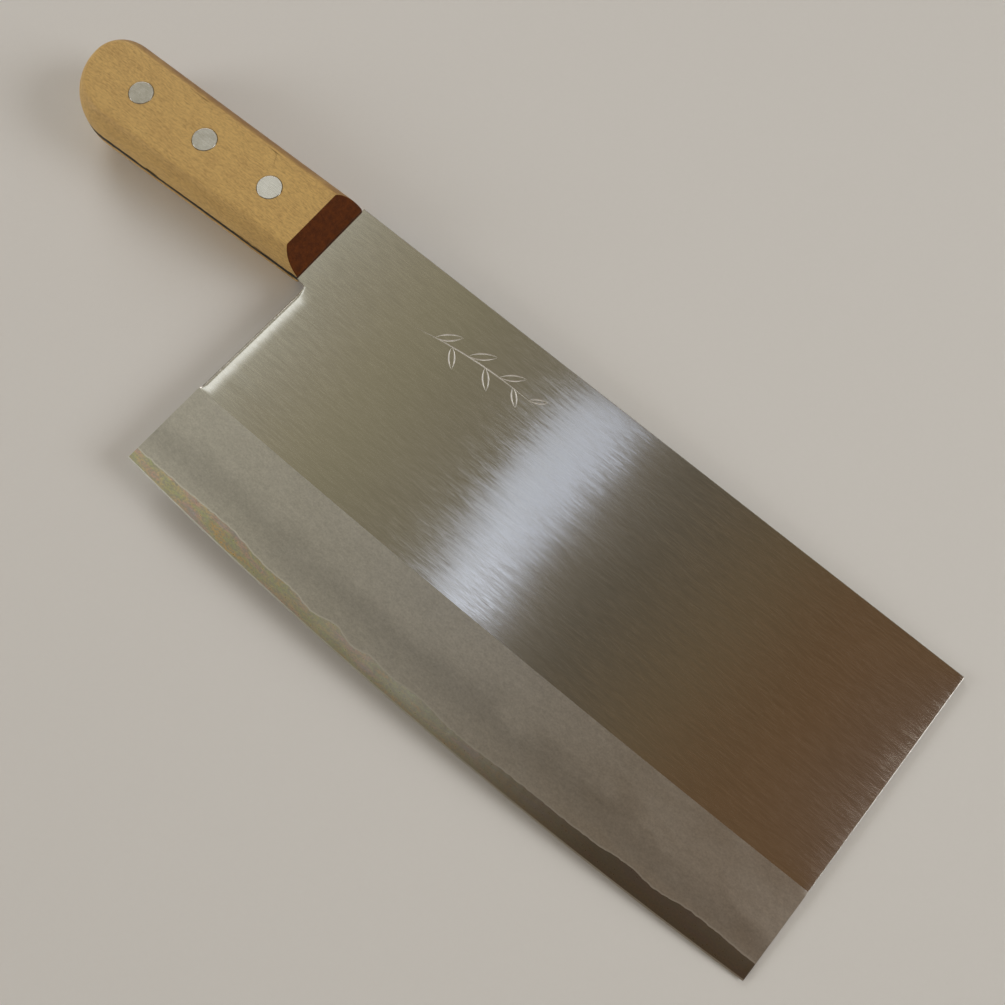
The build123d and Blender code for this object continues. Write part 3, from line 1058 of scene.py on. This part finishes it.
class CLEAVER_OT_cladding(bpy.types.Operator):
    """Soft layers on both faces, with the wide bevel, the rounded back and the sprig"""

    bl_idname = "cleaver.cladding"
    bl_label = "Cladding"

    def execute(self, context):
        blade, shape = context.scene.cleaver_blade, blade_shape(context.scene)
        curves = (shape.lamination, shape.seam, shape.grind)
        outline = shape.outline(curves, False)
        lines = shape.rounding_lines()
        lines += [shape.along(shape.seam, EDGE_STEP), shape.along(shape.buried, EDGE_STEP)]
        lines.append(shape.along(shape.grind, SPINE_STEP))
        lines.append(shape.across(FRONT_X + FRONT_STEP, shape.handle.bottom_front.y))
        fade_low = shape.meeting(shape.grind).y
        for y in (fade_low + CHOIL_RUN_OUT / 2, fade_low + CHOIL_RUN_OUT):
            x = shape.back(y)
            lines.append([Vector((x + run, y)) for run in spread(0.0, shape.sizes.choil_run, BACK_STEP)])
        finishes = (
            flat_steel(blade),
            bevel_steel(blade),
            seam_steel(blade),
            ground_steel("cut_steel", (0.92, 0.91, 0.89), 0.5),
            ground_steel("spine_steel", (0.66, 0.65, 0.62), 0.30),
        )

        def bottom(x, y):
            return min(shape.core(x, y) + LAYER_GAP, shape.surface(x, y))

        for name, side, strokes in (("right", 1, SPRIG_STROKES), ("left", -1, ())):
            sprig = Sprig(shape.sizes, strokes)
            flat = triangulate(outline, (), lines + sprig.lines())

            def top(x, y, sprig=sprig):
                return shape.surface(x, y) - sprig.cut(x, y)

            def finish(x, y, wall=False, sprig=sprig):
                if wall:
                    return WALL
                if y < shape.seam(x):
                    return SEAM
                if y < shape.grind(x):
                    return BEVEL
                return CUT if sprig.cut(x, y) > 0 else FLAT

            piece = plate(name + "_blade_face", flat, top, bottom, finish, side)
            dress(piece, finishes)
            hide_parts(name + "_cladding")
            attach(piece, "root")
        return {"FINISHED"}


class CLEAVER_OT_scales(bpy.types.Operator):
    """Two wooden scales with rounded sides, a sloping front facet and rivet pockets"""

    bl_idname = "cleaver.scales"
    bl_label = "Scales"

    def execute(self, context):
        handle = context.scene.cleaver_handle
        sizes, rivets = millimetres(handle), millimetres(context.scene.cleaver_rivets)
        outline = HandleOutline(sizes)
        finishes = (scale_wood(handle), end_grain(handle))
        for name, side in (("right", 1), ("left", -1)):
            piece = scale_solid(name + "_wood_scale", outline, sizes, rivets, side)
            dress(piece, finishes)
            soften(piece)
            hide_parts(name + "_scale")
            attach(piece, "root")
        return {"FINISHED"}


class CLEAVER_OT_rivets(bpy.types.Operator):
    """Brushed metal on the three two-part rivets"""

    bl_idname = "cleaver.rivets"
    bl_label = "Rivets"

    def execute(self, context):
        metal = rivet_metal(context.scene.cleaver_rivets)
        for place in RIVETS:
            for half in ("rivet_stud_", "rivet_sleeve_"):
                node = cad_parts[half + place]
                node.data.materials.clear()
                node.data.materials.append(metal)
        return {"FINISHED"}


def soft_light(name, place, target, size, radiance, tint, spread_angle):
    """An area light that shines from place towards target, with a given brightness of its face."""
    data = bpy.data.lights.new(name, "AREA")
    data.shape = "RECTANGLE"
    data.size, data.size_y = size
    data.energy = radiance * math.pi * size[0] * size[1]
    data.color = tint
    data.spread = math.radians(spread_angle)
    lamp = placed(name, data)
    lamp.location = place
    lamp.rotation_mode = "QUATERNION"
    lamp.rotation_quaternion = (Vector(target) - Vector(place)).to_track_quat("-Z", "Y")
    lamp.visible_camera = False


def studio_room(strength):
    """A dim room, olive on the handle's side and brown beyond the tip."""
    world = bpy.data.worlds.new("studio_room")
    world.use_nodes = True
    room = Nodes(world.node_tree)
    direction = room.add("TexCoord").outputs["Generated"]
    along = room.add("SeparateXYZ", {0: direction}).outputs["X"]
    share = room.add("MapRange", {"Value": along, "From Min": -1.0}).outputs["Result"]
    ramp = room.ramp(share, [(0.5 + place / 2, tint) for place, tint in ROOM_TINTS])
    background = room.add("Background", {"Color": ramp, "Strength": strength})
    room.add("OutputWorld", {"Surface": background.outputs[0]})
    bpy.context.scene.world = world


def studio_floor(stage, tilt, touch):
    """A pale bowl whose flat middle the cleaver lies on, as a disc with a rising rim."""
    turns = [2 * math.pi * i / BOWL_STEPS for i in range(BOWL_STEPS)]
    places = [(0.0, 0.0, 0.0)]
    for radius, height in BOWL:
        places += [(radius * math.cos(turn), radius * math.sin(turn), height) for turn in turns]
    faces = [(0, 1 + i, 1 + (i + 1) % BOWL_STEPS) for i in range(BOWL_STEPS)]
    for low in range(1, len(places) - BOWL_STEPS, BOWL_STEPS):
        faces += band(low + BOWL_STEPS, low, BOWL_STEPS)
    mesh = bpy.data.meshes.new("studio_floor")
    mesh.from_pydata(places, [], faces)
    mesh.shade_smooth()
    mesh.materials.append(floor_paper(stage))
    floor = placed("studio_floor", mesh)
    floor.rotation_euler = (0.0, -tilt, 0.0)
    floor.location = touch


class CLEAVER_OT_stage(bpy.types.Operator):
    """Pale floor, soft lights and the camera"""

    bl_idname = "cleaver.stage"
    bl_label = "Stage"

    def execute(self, context):
        scene = context.scene
        stage = scene.cleaver_stage
        rest_x = FRONT_X - millimetres(scene.cleaver_handle).facet_run
        lift = MIDDLE_Z - millimetres(scene.cleaver_blade).tip_thickness / 2
        tilt = math.atan(lift / (TIP_X - rest_x))
        studio_floor(stage, tilt, (rest_x * MM, 0.0, -FLOOR_GAP))
        studio_room(stage.room)
        for name, place, target, size, radiance, tint, spread_angle in LIGHTS:
            soft_light(name, place, target, size, radiance * stage.light, tint, spread_angle)

        data = bpy.data.cameras.new("camera")
        data.lens, data.sensor_width = LENS, SENSOR
        camera = placed("camera", data)
        turn, rise = math.radians(CAMERA_TURN), math.radians(CAMERA_RISE)
        back = Vector((math.sin(turn) * math.cos(rise), -math.cos(turn) * math.cos(rise), math.sin(rise)))
        camera.location = Vector(CAMERA_AIM) + back * CAMERA_DISTANCE
        camera.rotation_mode = "QUATERNION"
        roll = Quaternion((0.0, 0.0, 1.0), math.radians(CAMERA_ROLL))
        camera.rotation_quaternion = (-back).to_track_quat("-Z", "Y") @ roll
        scene.camera = camera
        scene.view_settings.view_transform = "Standard"
        return {"FINISHED"}


class CLEAVER_PT_panel(bpy.types.Panel):
    """The cleaver's pieces, sizes and colours"""

    bl_idname = "CLEAVER_PT_panel"
    bl_label = "Cleaver"
    bl_space_type = "VIEW_3D"
    bl_region_type = "UI"
    bl_category = "Cleaver"

    def draw(self, context):
        for operator in OPERATORS:
            self.layout.operator(operator.bl_idname)
        for name, group in GROUPS.items():
            box = self.layout.box()
            for key in group.__annotations__:
                box.prop(getattr(context.scene, name), key)


OPERATORS = (CLEAVER_OT_core, CLEAVER_OT_cladding, CLEAVER_OT_scales, CLEAVER_OT_rivets, CLEAVER_OT_stage)
GROUPS = {
    "cleaver_blade": CleaverBlade,
    "cleaver_handle": CleaverHandle,
    "cleaver_rivets": CleaverRivets,
    "cleaver_stage": CleaverStage,
}


def register():
    for kind in (*GROUPS.values(), *OPERATORS, CLEAVER_PT_panel):
        bpy.utils.register_class(kind)
    for name, group in GROUPS.items():
        setattr(bpy.types.Scene, name, PointerProperty(type=group))


def unregister():
    for name in GROUPS:
        delattr(bpy.types.Scene, name)
    for kind in reversed((*GROUPS.values(), *OPERATORS, CLEAVER_PT_panel)):
        bpy.utils.unregister_class(kind)


def main():
    register()
    for operator in OPERATORS:
        step = operator.bl_idname.split(".")[1]
        getattr(bpy.ops.cleaver, step)()


if __name__ == "__main__":
    main()
